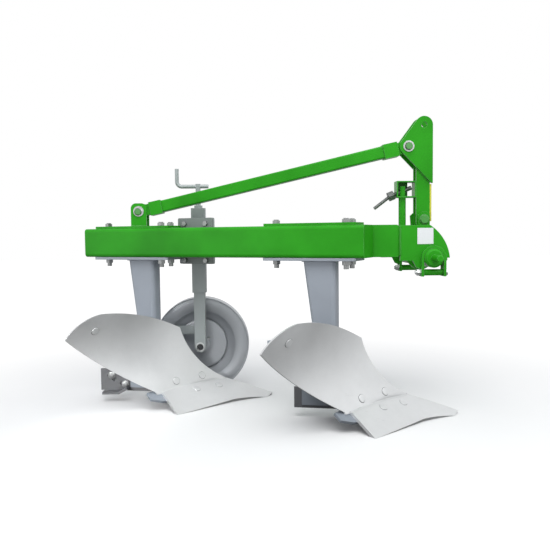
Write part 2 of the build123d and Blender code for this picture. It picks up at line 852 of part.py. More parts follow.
# Cross-shaft: a solid bar turned down to a lower-link pin at each end
shaft_near = heel_y + shaft_right_y
shaft_far = shaft_near + shaft_length
pin_ends = (shaft_near - link_pin_length, shaft_far + link_pin_length)
with BuildPart() as cross_shaft:
    with BuildSketch(Plane.XZ.offset(-shaft_near)):
        with Locations((shaft_at_x, shaft_z)):
            Circle(shaft_radius)
    extrude(amount=-shaft_length)
    chamfer(cross_shaft.edges(), 7)
    with BuildSketch(Plane.XZ.offset(-pin_ends[0])):
        with Locations((shaft_at_x, shaft_z)):
            Circle(link_pin_radius)
    extrude(amount=pin_ends[0] - pin_ends[1])
    end_edges = cross_shaft.edges().group_by(Axis.Y)
    chamfer(end_edges[0] + end_edges[-1], 2.5)
    with BuildSketch(Plane.XY.offset(shaft_z)):
        for pin_y in (pin_ends[0] + linchpin_inset, pin_ends[1] - linchpin_inset):
            with Locations((shaft_at_x, pin_y)):
                Circle(linchpin_radius)
    extrude(amount=link_pin_radius, both=True, mode=Mode.SUBTRACT)
save(cross_shaft.part, "cross_shaft")

# Levelling lever: a plate round the shaft and an upright tube whose top is a fork
lever_at_x = heel_x + lever_x
with BuildPart() as lever:
    with BuildSketch(Plane.XZ.offset(-head_y - lever_plate / 2)):
        with BuildLine():
            Polyline(
                (lever_at_x - lever_radius - 4, lever_foot_z),
                (shaft_at_x, lever_foot_z),
                (shaft_at_x, shaft_z - 30),
                (shaft_at_x - 32, shaft_z - 30),
                (lever_at_x - lever_radius - 4, lever_foot_z - 18),
                close=True,
            )
        make_face()
        with Locations((shaft_at_x, shaft_z)):
            Circle(collar_radius)
            Circle(shaft_radius + wheel_fit, mode=Mode.SUBTRACT)
    extrude(amount=lever_plate)
    with BuildSketch(Plane.XY.offset(lever_foot_z)):
        with Locations((lever_at_x, head_y)):
            Circle(lever_radius)
    extrude(amount=lever_top_z - lever_foot_z)
    with BuildSketch(Plane.XY.offset(lever_fork_z)):
        with Locations((lever_at_x, head_y)):
            Rectangle(3 * lever_radius, lever_fork_gap)
    extrude(amount=lever_top_z - lever_fork_z, mode=Mode.SUBTRACT)
save(lever.part, "levelling_lever")

# Yoke: a box of flat bar welded to the arms' rear edges, slotted below for the lever
arm_rear_x = heel_x + arm_x - arm_width / 2
yoke_x = heel_x + yoke_rear
yoke_middle_y = head_y + (yoke_far - yoke_near) / 2
yoke_length = arm_rear_x - yoke_x
screw_dir = Vector(cos(radians(screw_angle)), 0, sin(radians(screw_angle)))
screw_middle = Vector(lever_at_x, head_y, screw_z)
with BuildPart() as yoke:
    with BuildSketch(Plane.XZ.offset(-head_y + yoke_near)):
        with Locations((yoke_x + yoke_length / 2, yoke_bottom + yoke_height / 2)):
            Rectangle(yoke_length, yoke_height)
            Rectangle(
                yoke_length - 2 * yoke_wall, yoke_height - 2 * yoke_wall, mode=Mode.SUBTRACT
            )
    extrude(amount=-yoke_near - yoke_far)
    with BuildSketch(Plane.XZ.offset(-head_y - yoke_far)):
        with Locations((yoke_x + yoke_back_length / 2, yoke_bottom + yoke_height / 2)):
            Rectangle(yoke_back_length, yoke_height)
    extrude(amount=yoke_wall)
    slot_front = heel_x + yoke_slot_front
    with BuildSketch(Plane.XY.offset(yoke_bottom)):
        with Locations(((yoke_x + yoke_wall + slot_front) / 2, head_y)):
            Rectangle(slot_front - yoke_x - yoke_wall, 2 * yoke_slot_half)
    extrude(amount=yoke_wall, mode=Mode.SUBTRACT)
    with BuildSketch(Plane(origin=screw_middle, x_dir=(0, 1, 0), z_dir=screw_dir)):
        Circle(screw_radius + wheel_fit)
    extrude(amount=-yoke_length, mode=Mode.SUBTRACT)
save(yoke.part, "levelling_yoke")

# Levelling screw: rod through the yoke into the fork, collar outside the yoke, bent crank
with BuildPart() as screw:
    rod_start = -screw_collar_start - screw_collar_length
    with BuildSketch(
        Plane(origin=screw_middle + screw_dir * rod_start, x_dir=(0, 1, 0), z_dir=screw_dir)
    ):
        Circle(screw_radius)
    extrude(amount=screw_reach - rod_start)
    with BuildSketch(
        Plane(origin=screw_middle + screw_dir * rod_start, x_dir=(0, 1, 0), z_dir=screw_dir)
    ):
        RegularPolygon(screw_collar_radius, 6)
    extrude(amount=screw_collar_length)
    crank_start = screw_middle + screw_dir * (rod_start + 6)
    crank_dir = Vector(-cos(radians(screw_crank_angle)), 0, -sin(radians(screw_crank_angle)))
    with BuildSketch(Plane(origin=crank_start, x_dir=(0, 1, 0), z_dir=crank_dir)):
        Circle(screw_crank_radius)
    extrude(amount=screw_crank_length)
save(screw.part, "levelling_screw")

# Pad welded to the beam's side, and the bracket bolted on it: plate, shelves and post sleeve
post_at = (heel_x + wheel_x, heel_y + post_y)
with BuildPart() as pad:
    with BuildSketch(bracket_side):
        with Locations((0, plate_middle)):
            RectangleRounded(bracket_width, bracket_top - bracket_bottom, 5)
        with Locations(*side_bolts):
            Circle(bracket_bolt_radius + pin_fit, mode=Mode.SUBTRACT)
        # the lower rear corner is cut off beside the leg's flange
        with Locations((bracket_width / 2, bracket_bottom - beam_middle)):
            Rectangle(2 * pad_notch, 4 * pad_notch, mode=Mode.SUBTRACT)
    extrude(amount=bracket_plate)
save(pad.part, "bracket_pad")
shelf_depth = shelf_reach - beam_size / 2 - 1.5 * bracket_plate
with BuildPart() as bracket:
    with BuildSketch(bracket_side.offset(bracket_plate)):
        with Locations((0, plate_middle)):
            RectangleRounded(bracket_width, bracket_top - bracket_bottom, 5)
        with Locations(*side_bolts):
            Circle(bracket_bolt_radius + pin_fit, mode=Mode.SUBTRACT)
    extrude(amount=bracket_plate)
    for shelf_z in bracket_shelves:
        # x runs back along the beam and y towards the right-hand side
        shelf_plane = Plane(
            origin=(bracket_side.origin.X, bracket_side.origin.Y, shelf_z),
            x_dir=beam_dir,
            z_dir=(0, 0, 1),
        )
        with BuildSketch(shelf_plane):
            with Locations(
                ((shelf_front + shelf_rear) / 2 - bracket_middle, -1.5 * bracket_plate - shelf_depth / 2)
            ):
                Rectangle(shelf_rear - shelf_front, shelf_depth)
        extrude(amount=shelf_thickness)
    with BuildSketch(Plane.XY.offset(sleeve_bottom)):
        with Locations(post_at):
            RectangleRounded(sleeve_size, sleeve_size, 1)
    extrude(amount=sleeve_top - sleeve_bottom)
    with BuildSketch(Plane.XY.offset(sleeve_bottom)):
        with Locations(post_at):
            Rectangle(post_size + 2 * slide_gap, post_size + 2 * slide_gap)
    extrude(amount=sleeve_top - sleeve_bottom - cap_thickness, mode=Mode.SUBTRACT)
    with BuildSketch(Plane.XY.offset(sleeve_bottom)):
        with Locations(post_at):
            Circle(spindle_radius + pin_fit)
    extrude(amount=sleeve_top - sleeve_bottom, mode=Mode.SUBTRACT)
save(bracket.part, "wheel_bracket")

# Crank on top of the sleeve: spindle, collar, and a round bar bent up into a grip
with BuildPart() as crank:
    spindle_top = sleeve_top + spindle_rise
    # height and radius of the spindle and of the collar that rests on the sleeve
    for z, top, radius in (
        (sleeve_top - 14, spindle_top, spindle_radius),
        (sleeve_top, sleeve_top + 10, spindle_radius + 6),
    ):
        with BuildSketch(Plane.XY.offset(z)):
            with Locations(post_at):
                Circle(radius)
        extrude(amount=top - z)
    bar_z = spindle_top - spindle_radius
    grip_x = post_at[0] - crank_rear
    with BuildLine(Plane.XZ.offset(-post_at[1])) as crank_path:
        FilletPolyline(
            (post_at[0] + crank_front, bar_z),
            (grip_x, bar_z),
            (grip_x, bar_z + crank_grip),
            radius=crank_bend,
        )
    with BuildSketch(Plane(origin=crank_path.line @ 0, z_dir=crank_path.line % 0)):
        Circle(crank_radius)
    sweep(path=crank_path.line)
save(crank.part, "depth_crank")

# Wheel post: square tube with a rounded foot that holds the axle
wheel_z = wheel_radius
axle_at = (post_at[0], wheel_z)
post_near = post_at[1] - post_size / 2
with BuildPart() as post:
    with BuildSketch(Plane.XZ.offset(-post_near)):
        with Locations((post_at[0], (wheel_z + post_top_z) / 2)):
            Rectangle(post_size, post_top_z - wheel_z)
        with Locations(axle_at):
            Circle(post_size / 2)
    extrude(amount=-post_size)
    with BuildSketch(Plane.XY.offset(wheel_z + 2 * axle_radius)):
        with Locations(post_at):
            Rectangle(post_size - 2 * post_wall, post_size - 2 * post_wall)
    extrude(amount=post_top_z - wheel_z, mode=Mode.SUBTRACT)
    with BuildSketch(Plane.XZ.offset(-post_near)):
        with Locations(axle_at):
            Circle(axle_radius + pin_fit)
    extrude(amount=-post_size, mode=Mode.SUBTRACT)
save(post.part, "wheel_post")

# Axle with a head in front of the post, a spacer behind it and a nut outside the hub
wheel_at_y = heel_y + wheel_y
post_far = post_at[1] + post_size / 2
hub_near = wheel_at_y - hub_length / 2
hub_far = wheel_at_y + hub_length / 2
with BuildPart() as axle:
    # start and end across the plough, and radius
    for start, end, radius in (
        (post_near - 6, hub_far + 16, axle_radius),
        (post_near - 6, post_near, axle_radius + 2),
        (post_far, hub_near - side_gap, axle_radius + 5),
        (hub_far + side_gap, hub_far + 12, axle_radius + 8),
    ):
        with BuildSketch(Plane.XZ.offset(-start)):
            with Locations(axle_at):
                Circle(radius)
        extrude(amount=start - end)
    with BuildSketch(Plane.XZ.offset(6 - post_near)):
        with Locations(axle_at):
            RegularPolygon(axle_radius - 3, 6)
    extrude(amount=-8, mode=Mode.SUBTRACT)
save(axle.part, "wheel_axle")

# Scraper: an arm from the post, bent across the tread
scraper_end = sqrt((wheel_radius + scraper_gap) ** 2 - (scraper_z - wheel_z) ** 2)
tread_x = post_at[0] - scraper_end - scraper_height / 2
arm_y = post_at[1] + post_size / 2 - scraper_thickness
with BuildPart() as scraper:
    with BuildSketch(Plane.XY.offset(scraper_z - scraper_height / 2)):
        with BuildLine():
            Polyline(
                (post_at[0] - post_size / 2, arm_y),
                (tread_x, arm_y),
                (tread_x, wheel_at_y + wheel_width / 2),
                (tread_x + scraper_thickness, wheel_at_y + wheel_width / 2),
                (tread_x + scraper_thickness, arm_y + scraper_thickness),
                (post_at[0] - post_size / 2, arm_y + scraper_thickness),
                close=True,
            )
        make_face()
    extrude(amount=scraper_height)
save(scraper.part, "wheel_scraper")

# Wheel: pressed tread and dished disc, spun about the axle, with its hub
rim_near = wheel_at_y - wheel_width / 2
rim_far = wheel_at_y + wheel_width / 2
with BuildPart() as wheel:
    with BuildSketch(Plane.YZ.offset(post_at[0])):
        with BuildLine():
            # outer crown, then the hollow that runs into the flat middle: depth and radius
            crown = [(rim_near + y, wheel_z + r) for y, r in crown_arc]
            hollow = [(rim_near + y, wheel_z + r) for y, r in hollow_arc]
            disc_y = hollow[2][0]
            ThreePointArc(*crown)
            ThreePointArc(*hollow)
            Polyline(
                hollow[2],
                (disc_y, wheel_z + hub_radius),
                (disc_y + wheel_wall, wheel_z + hub_radius),
                (disc_y + wheel_wall, hollow[2][1]),
            )
            ThreePointArc(*[(y + wheel_wall, z) for y, z in reversed(hollow)])
            ThreePointArc(*[(y + wheel_wall, z) for y, z in reversed(crown)])
            Line((crown[0][0] + wheel_wall, crown[0][1]), crown[0])
        make_face()
        with Locations((wheel_at_y, wheel_z + wheel_radius - wheel_wall / 2)):
            RectangleRounded(wheel_width, wheel_wall, wheel_wall / 2 - 0.3)
        with Locations((wheel_at_y, wheel_z + (axle_radius + wheel_fit + hub_radius) / 2)):
            Rectangle(hub_length, hub_radius - axle_radius - wheel_fit)
    revolve(axis=Axis(origin=(post_at[0], 0, wheel_z), direction=(0, 1, 0)))
save(wheel.part, "depth_wheel")
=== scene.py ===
"""Looks of the two-furrow plough: paints, plated steel, fasteners, welds, floor, light and camera."""

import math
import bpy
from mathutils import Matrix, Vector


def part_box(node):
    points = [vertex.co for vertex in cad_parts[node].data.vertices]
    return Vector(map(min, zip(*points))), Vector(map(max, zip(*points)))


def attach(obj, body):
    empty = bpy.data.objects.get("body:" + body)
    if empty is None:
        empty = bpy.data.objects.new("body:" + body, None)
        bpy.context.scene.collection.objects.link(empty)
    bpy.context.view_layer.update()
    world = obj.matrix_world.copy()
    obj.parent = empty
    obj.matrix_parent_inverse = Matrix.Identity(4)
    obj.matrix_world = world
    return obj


bl_info = {
    "name": "Mounted Plough",
    "version": (1, 0, 0),
    "blender": (4, 5, 0),
    "location": "View3D > Sidebar > Plough",
    "description": "Finishes and small fittings for a two-furrow mounted plough",
    "category": "Object",
}

import bmesh
import bpy
from mathutils import Matrix, Vector

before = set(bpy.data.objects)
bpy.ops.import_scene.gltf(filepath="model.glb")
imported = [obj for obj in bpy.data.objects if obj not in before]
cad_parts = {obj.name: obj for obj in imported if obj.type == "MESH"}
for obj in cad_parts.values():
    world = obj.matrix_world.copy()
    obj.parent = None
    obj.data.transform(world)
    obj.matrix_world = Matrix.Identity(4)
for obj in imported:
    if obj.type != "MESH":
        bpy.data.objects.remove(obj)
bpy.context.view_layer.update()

# The shares' heels on the ground, and how the cutting edge and the share's face are turned
HEELS = {"front": Vector((0.3173, -0.3093, 0)), "rear": Vector((-0.2807, -0.0193, 0))}
EDGE_TURN = math.radians(37.2)
SHARE_SLOPE = math.radians(31)
# Along the cutting edge, level behind it, up the share's face and straight out of that face
EDGE = Vector((math.cos(EDGE_TURN), math.sin(EDGE_TURN), 0))
BACK = Vector((-math.sin(EDGE_TURN), math.cos(EDGE_TURN), 0))
FACE_RISE = BACK * math.cos(SHARE_SLOPE) + Vector((0, 0, math.sin(SHARE_SLOPE)))
FACE_OUT = Vector((0, 0, math.cos(SHARE_SLOPE))) - BACK * math.sin(SHARE_SLOPE)
# Along the beam from the front body to the rear one, and level across it
BEAM_RUN = (HEELS["rear"] - HEELS["front"]).normalized()
BEAM_ACROSS = Vector((BEAM_RUN.y, -BEAM_RUN.x, 0))
# Out of the plough's right-hand side
RIGHT = Vector((0, -1, 0))
# Metres from crest to crest of a wave texture whose scale is 1
WAVE_RUN = 0.314
# The camera's focal length in pixels of a picture this wide, its place and its turn in degrees
FOCAL_PIXELS = 664.55
PICTURE_PIXELS = 550
CAMERA_PLACE = (-0.0128, -2.1668, 0.5840)
CAMERA_TURN = (86.552, 0.606, -1.5005)


class Value:
    """An output socket, with Math nodes behind its operators and their reflected forms."""

    def __init__(self, nodes, socket):
        self.nodes = nodes
        self.socket = socket

    def _math(self, operation, first, second):
        return self.nodes.node("ShaderNodeMath", {"operation": operation}, {0: first, 1: second})

    def __add__(self, other):
        return self._math("ADD", self, other)

    def __radd__(self, other):
        return self._math("ADD", other, self)

    def __sub__(self, other):
        return self._math("SUBTRACT", self, other)

    def __rsub__(self, other):
        return self._math("SUBTRACT", other, self)

    def __mul__(self, other):
        return self._math("MULTIPLY", self, other)

    def __rmul__(self, other):
        return self._math("MULTIPLY", other, self)

    def __gt__(self, other):
        return self._math("GREATER_THAN", self, other)

    def __lt__(self, other):
        return self._math("LESS_THAN", self, other)

    def band(self, low, high):
        """0 below low, 1 above high, straight between them."""
        return self.nodes.node(
            "ShaderNodeMapRange", {"clamp": True}, {"Value": self, "From Min": low, "From Max": high}
        )


class Nodes:
    """The node tree of a material or a world, filled node by node."""

    def __init__(self, owner):
        owner.use_nodes = True
        self.tree = owner.node_tree
        self.tree.nodes.clear()

    def node(self, kind, settings, inputs, output=0):
        """Adds a node, sets it up, feeds its sockets and returns the wanted output, if it has one."""
        made = self.tree.nodes.new(kind)
        for key, setting in settings.items():
            setattr(made, key, setting)
        for key, value in inputs.items():
            socket = made.inputs[key]
            if isinstance(value, Value):
                self.tree.links.new(value.socket, socket)
            elif socket.type == "RGBA":
                socket.default_value = (*value, 1)
            else:
                socket.default_value = value
        return Value(self, made.outputs[output]) if made.outputs else None


class Finish(Nodes):
    """One material around a Principled shader."""

    def __init__(self, name):
        self.material = bpy.data.materials.new(name)
        super().__init__(self.material)
        self.place = self.node("ShaderNodeTexCoord", {}, {}, "Object")

    def scaled(self, scale, turn=(0, 0, 0)):
        """Object coordinates, turned and stretched by scale per axis."""
        return self.node(
            "ShaderNodeMapping", {}, {"Vector": self.place, "Scale": scale, "Rotation": turn}
        )

    def noise(self, scale, detail=3, roughness=0.5, place=None):
        """Soft noise from 0 to 1, on Object coordinates if no other place is given."""
        return self.node(
            "ShaderNodeTexNoise",
            {},
            {"Vector": place or self.place, "Scale": scale, "Detail": detail, "Roughness": roughness},
        )

    def axis(self, name):
        """One Object coordinate in metres."""
        return self.node("ShaderNodeSeparateXYZ", {}, {0: self.place}, name)

    def mix(self, factor, first, second):
        """Colour mix: first where factor is 0, second where it is 1."""
        return self.node("ShaderNodeMix", {"data_type": "RGBA"}, {0: factor, 6: first, 7: second}, 2)

    def edges(self, radius):
        """1 on sharp edges and 0 on open faces, from how far a bevel would turn the surface."""
        rounded = self.node("ShaderNodeBevel", {"samples": 6}, {"Radius": radius})
        flat = self.node("ShaderNodeNewGeometry", {}, {}, "Normal")
        agree = self.node(
            "ShaderNodeVectorMath", {"operation": "DOT_PRODUCT"}, {0: rounded, 1: flat}, "Value"
        )
        return (1 - agree).band(0.02, 0.25)

    def bump(self, height, strength, distance, edge=0.0):
        """Normal from a height, over softened edges where an edge radius is given."""
        inputs = {"Height": height, "Strength": strength, "Distance": distance}
        if edge:
            inputs["Normal"] = self.node("ShaderNodeBevel", {"samples": 4}, {"Radius": edge})
        return self.node("ShaderNodeBump", {}, inputs)

    def close(self, **sockets):
        """Ends the material with a Principled shader whose sockets are named with underscores."""
        shader = self.node(
            "ShaderNodeBsdfPrincipled", {}, {key.replace("_", " "): value for key, value in sockets.items()}
        )
        self.node("ShaderNodeOutputMaterial", {}, {"Surface": shader})
        return self.material


def shade(colour, share, lift=0.0):
    """A colour times a share, with some grey added."""
    return tuple(min(1, c * share + lift) for c in colour)


def gloss_paint(name, colour, edge):
    """Sprayed gloss enamel: faint orange peel, a slow change of shade, and edges lightened as painted
    highlights if edge isn't 0.
    """
    finish = Finish(name)
    cloud = finish.noise(6, 4)
    base = finish.mix(cloud.band(0.3, 0.7), shade(colour, 0.84), shade(colour, 1.18, 0.004))
    if edge:
        # edges lightened towards a pale grey: painted highlights where the edges would catch the light
        base = finish.mix(finish.edges(edge * 1.6) * 0.45, base, shade(colour, 0.55, 0.30))
    peel = finish.noise(420, 2)
    return finish.close(
        Base_Color=base,
        Roughness=0.26 + cloud * 0.12,
        Specular_IOR_Level=0.16,
        Normal=finish.bump(peel, 0.06, 0.0004, edge),
        Coat_Weight=0.05,
        Coat_Roughness=0.1,
    )


def silver_paint(name, colour, roughness, metal, edge):
    """Silver-grey satin paint: fine flake, broad clouds, a few rubbed streaks and edges lightened as painted
    highlights.
    """
    finish = Finish(name)
    cloud = finish.noise(5, 5, 0.6)
    flake = finish.noise(900, 1)
    streak = finish.noise(9, 4, 0.6, finish.scaled((1, 6, 14), (0, 0, EDGE_TURN)))
    speckle = cloud.band(0.3, 0.7) * 0.7 + flake * 0.3
    least_edge = 0.0012
    base = finish.mix(speckle, shade(colour, 0.86), shade(colour, 1.07))
    base = finish.mix(streak.band(0.62, 0.78) * 0.25, base, shade(colour, 0.7))
    # edges lightened: painted highlights along the edges
    base = finish.mix(finish.edges(max(edge, least_edge)) * 0.4, base, shade(colour, 1.35))
    return finish.close(
        Base_Color=base,
        Metallic=metal,
        Roughness=roughness + cloud * 0.14 - 0.07,
        Normal=finish.bump(flake * 0.6 + finish.noise(130, 2) * 0.4, 0.08, 0.0004, edge),
    )


def plated_steel(name, colour, edge, caps=(), cap_radius=0.0, cap_colour=(0, 0, 0)):
    """Zinc plating, a little cloudy; caps are places in X and Z with a coloured middle in a dark rim of
    painted shade.
    """
    finish = Finish(name)
    cloud = finish.noise(90, 4, 0.6)
    base = finish.mix(cloud.band(0.35, 0.7), shade(colour, 0.72), colour)
    shade_rim_width = 0.0016
    metal = 0.9
    for x, z in caps:
        aside = finish.axis("X") - x
        above = finish.axis("Z") - z
        reach = aside * aside + above * above
        shade_rim = reach < (cap_radius + shade_rim_width) ** 2
        inside = reach < cap_radius ** 2
        # the dark rim is painted shade round each cap's middle
        base = finish.mix(shade_rim, base, shade(colour, 0.12))
        base = finish.mix(inside, base, cap_colour)
        metal = metal - inside * 0.8
    return finish.close(
        Base_Color=base,
        Metallic=metal,
        Roughness=0.26 + cloud * 0.2,
        Normal=finish.bump(finish.noise(700, 2), 0.12, 0.0003, edge),
    )


def threaded_steel(name, colour, pitch, turn):
    """Plated rod with a rolled thread, its grooves darkened as painted shade; turn brings the rod's line to
    the X axis.
    """
    finish = Finish(name)
    thread = finish.node(
        "ShaderNodeTexWave",
        {"wave_type": "BANDS", "bands_direction": "X", "wave_profile": "TRI"},
        {"Vector": finish.scaled((1, 1, 1), turn), "Scale": WAVE_RUN / pitch},
        "Fac",
    )
    cloud = finish.noise(80, 3)
    return finish.close(
        # darker in the thread's grooves: painted shade
        Base_Color=finish.mix(thread.band(0.2, 0.8) * 0.7 + cloud * 0.3, shade(colour, 0.45), colour),
        Metallic=0.85,
        Roughness=0.34 + cloud * 0.15,
        Normal=finish.bump(thread, 0.7, 0.0012),
    )


def sign_face(name, face):
    """Blank white plate with a faint mottle."""
    finish = Finish(name)
    mottle = finish.noise(160, 2)
    return finish.close(
        Base_Color=finish.mix(mottle, face, shade(face, 0.94)),
        Roughness=0.32 + mottle * 0.1,
        Normal=finish.bump(mottle, 0.05, 0.0002),
    )


def new_piece(name, body, material, shape, outward=None):
    """Turns a bmesh into a finished object that rides on a body; an open sheet says which way is out."""
    sharp_angle = math.radians(32)
    bmesh.ops.recalc_face_normals(shape, faces=shape.faces)
    if outward and sum(face.normal.dot(outward) for face in shape.faces) < 0:
        bmesh.ops.reverse_faces(shape, faces=shape.faces)
    mesh = bpy.data.meshes.new(name)
    shape.to_mesh(mesh)
    shape.free()
    mesh.materials.append(material)
    for face in mesh.polygons:
        face.use_smooth = True
    mesh.set_sharp_from_angle(angle=sharp_angle)
    piece = bpy.data.objects.new(name, mesh)
    bpy.context.scene.collection.objects.link(piece)
    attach(piece, body)
    return piece


def facing(direction, at):
    """Matrix that puts local Z along direction and the origin at a point."""
    return Matrix.Translation(at) @ direction.to_track_quat("Z", "Y").to_matrix().to_4x4()


def add_plate(shape, middle, size, rounding, segments):
    """Flat plate with all its edges rounded off."""
    bmesh.ops.create_cube(shape, size=1, matrix=Matrix.Translation(middle) @ Matrix.Diagonal((*size, 1)))
    bmesh.ops.bevel(shape, geom=list(shape.edges), offset=rounding, segments=segments, profile=0.5,
                    affect="EDGES", material=-1)


def add_dome(shape, at, direction, radius, height, lip, sides=24):
    """Head that stands on a surface, its upper edge rounded over lip, a share of the height."""
    made = bmesh.ops.create_cone(
        shape, cap_ends=True, segments=sides, radius1=radius, radius2=radius, depth=height,
        matrix=facing(direction, at + direction * height / 2),
    )
    nearly_top = height * 0.9
    high = {vert for vert in made["verts"] if (vert.co - at).dot(direction) > nearly_top}
    top = [edge for edge in shape.edges if high.issuperset(edge.verts)]
    bmesh.ops.bevel(shape, geom=top, offset=height * lip, segments=3, profile=0.5, affect="EDGES",
                    material=-1)


def add_head(heads, shade_rings, at, outward, radius, height, gap, ring_height):
    """Round bolt head in a dark ring of painted shade as wide as gap, both sunk a little into the surface."""
    head_sink, head_lip = 0.0008, 0.4
    ring_sink, ring_lip = 0.0010, 0.1
    add_dome(heads, at - outward * head_sink, outward, radius, height, head_lip)
    add_dome(shade_rings, at - outward * ring_sink, outward, radius + gap, ring_height, ring_lip)


def add_rod(shape, start, end, radius, sides):
    """Closed round bar between two points."""
    run = end - start
    bmesh.ops.create_cone(
        shape, cap_ends=True, segments=sides, radius1=radius, radius2=radius, depth=run.length,
        matrix=facing(run.normalized(), (start + end) / 2),
    )


def add_bead(shape, start, end, radius):
    """Weld bead: overlapping drops, a little short along the seam."""
    run = end - start
    spacing = radius * 0.9
    count = max(2, round(run.length / spacing))
    drop = Matrix.Diagonal((radius, radius, radius * 0.8, 1))
    for index in range(count + 1):
        at = start + run * (index / count)
        bmesh.ops.create_icosphere(
            shape, subdivisions=1, radius=1.0, matrix=facing(run.normalized(), at) @ drop
        )


class PloughColours(bpy.types.PropertyGroup):
    """Colours a user may want to change."""

    frame_green: bpy.props.FloatVectorProperty(
        name="Frame green", description="Gloss paint of beam, headstock and shaft",
        subtype="COLOR", default=(0.020, 0.300, 0.006), min=0, max=1,
    )
    body_silver: bpy.props.FloatVectorProperty(
        name="Body silver", description="Satin paint of mouldboards and shares",
        subtype="COLOR", default=(0.66, 0.67, 0.675), min=0, max=1,
    )
    leg_grey: bpy.props.FloatVectorProperty(
        name="Leg grey", description="Satin paint of the legs and stays",
        subtype="COLOR", default=(0.34, 0.375, 0.425), min=0, max=1,
    )
    frog_grey: bpy.props.FloatVectorProperty(
        name="Frog grey", description="Satin paint of the frogs",
        subtype="COLOR", default=(0.26, 0.29, 0.33), min=0, max=1,
    )
    landside_grey: bpy.props.FloatVectorProperty(
        name="Landside grey", description="Darker paint of the landsides and the heel",
        subtype="COLOR", default=(0.135, 0.138, 0.146), min=0, max=1,
    )
    wheel_grey: bpy.props.FloatVectorProperty(
        name="Wheel grey", description="Satin paint of the depth wheel",
        subtype="COLOR", default=(0.47, 0.49, 0.52), min=0, max=1,
    )
    post_grey: bpy.props.FloatVectorProperty(
        name="Post grey", description="Satin paint of the wheel's post, sleeve, bracket and crank",
        subtype="COLOR", default=(0.37, 0.405, 0.405), min=0, max=1,
    )
    zinc: bpy.props.FloatVectorProperty(
        name="Zinc", description="Plated bolts, nuts and washers",
        subtype="COLOR", default=(0.66, 0.68, 0.68), min=0, max=1,
    )
    sign_white: bpy.props.FloatVectorProperty(
        name="Sign white", description="Blank sign plate",
        subtype="COLOR", default=(0.80, 0.82, 0.84), min=0, max=1,
    )
    marker_yellow: bpy.props.FloatVectorProperty(
        name="Marker yellow", description="Strip on the headstock arm's front edge",
        subtype="COLOR", default=(0.62, 0.60, 0.07), min=0, max=1,
    )


class PloughSizes(bpy.types.PropertyGroup):
    """Sizes of the small fittings."""

    bolt_head: bpy.props.FloatProperty(
        name="Bolt head", description="Radius of the round heads on mouldboard and share",
        default=0.0125, unit="LENGTH", min=0.004, max=0.02,
    )
    seam_width: bpy.props.FloatProperty(
        name="Seam width", description="Half the width of the painted seam above the share",
        default=0.0065, unit="LENGTH", min=0.001, max=0.01,
    )
    sign_size: bpy.props.FloatProperty(
        name="Sign size", description="Side of the square sign plate",
        default=0.050, unit="LENGTH", min=0.02, max=0.08,
    )
    weld_radius: bpy.props.FloatProperty(
        name="Weld size", description="Radius of the weld beads",
        default=0.0042, unit="LENGTH", min=0.001, max=0.01,
    )
    edge_radius: bpy.props.FloatProperty(
        name="Edge softness", description="Radius that the paint gives to sharp edges",
        default=0.0014, unit="LENGTH", min=0, max=0.005,
    )


def paint_nodes(material, names):
    """Puts a finish on CAD nodes."""
    for name in names:
        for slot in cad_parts[name].material_slots:
            slot.material = material


class PLOUGH_OT_frame_paint(bpy.types.Operator):
    """Paint the beam, headstock, strut, straps and cross-shaft"""

    bl_idname = "plough.frame_paint"
    bl_label = "Frame paint"

    def execute(self, context):
        colours = context.scene.plough_colours
        edge = context.scene.plough_sizes.edge_radius
        green = gloss_paint("Green gloss enamel", colours.frame_green, edge)
        paint_nodes(green, [
            "main_beam", "cross_member", "corner_gussets", "right_quadrant_plate",
            "left_quadrant_plate", "right_saddle_strap", "left_saddle_strap", "strap_spacers",
            "headstock_base", "right_headstock_arm", "left_headstock_arm", "right_top_plate",
            "left_top_plate", "top_strut", "strut_lugs", "cross_shaft", "levelling_lever",
            "front_clamp_plate", "rear_clamp_plate", "levelling_yoke",
        ])
        # the foot bolt gets a lighter copy of the frame green: painted light
        pale = gloss_paint("Lit green enamel", shade(colours.frame_green, 0.85, 0.07), edge)
        paint_nodes(pale, ["headstock_foot_bolt"])
        return {"FINISHED"}


class PLOUGH_OT_body_paint(bpy.types.Operator):
    """Paint the mouldboards, shares, legs, frogs, landsides and heel"""

    bl_idname = "plough.body_paint"
    bl_label = "Body paint"

    def execute(self, context):
        colours = context.scene.plough_colours
        edge = context.scene.plough_sizes.edge_radius
        silver = silver_paint("Silver satin paint", colours.body_silver, 0.36, 0.40, edge * 0.4)
        leg = silver_paint("Grey satin paint", colours.leg_grey, 0.40, 0.2, edge * 2)
        dark = silver_paint("Dark grey satin paint", colours.landside_grey, 0.5, 0.1, edge)
        frog = silver_paint("Frog grey satin paint", colours.frog_grey, 0.45, 0.15, edge)
        for end in HEELS:
            paint_nodes(silver, [f"{end}_mouldboard", f"{end}_share"])
            paint_nodes(leg, [f"{end}_leg", f"{end}_stay"])
            paint_nodes(frog, [f"{end}_frog"])
            paint_nodes(dark, [f"{end}_landside"])
        paint_nodes(dark, ["rear_heel"])
        return {"FINISHED"}


class PLOUGH_OT_wheel_paint(bpy.types.Operator):
    """Paint the depth wheel, its post, sleeve, bracket, scraper and crank"""

    bl_idname = "plough.wheel_paint"
    bl_label = "Wheel paint"

    def execute(self, context):
        colours = context.scene.plough_colours
        edge = context.scene.plough_sizes.edge_radius
        wheel = silver_paint("Wheel grey paint", colours.wheel_grey, 0.36, 0.25, edge)
        post = silver_paint("Post grey paint", colours.post_grey, 0.42, 0.15, edge)
        # the bracket pad gets a darker copy of the post grey: painted shade
        pad = silver_paint("Shaded post grey paint", shade(colours.post_grey, 0.55), 0.45, 0.15, edge)
        paint_nodes(wheel, ["depth_wheel"])
        paint_nodes(pad, ["bracket_pad"])
        paint_nodes(post, ["wheel_post", "wheel_scraper", "wheel_bracket", "depth_crank"])
        return {"FINISHED"}


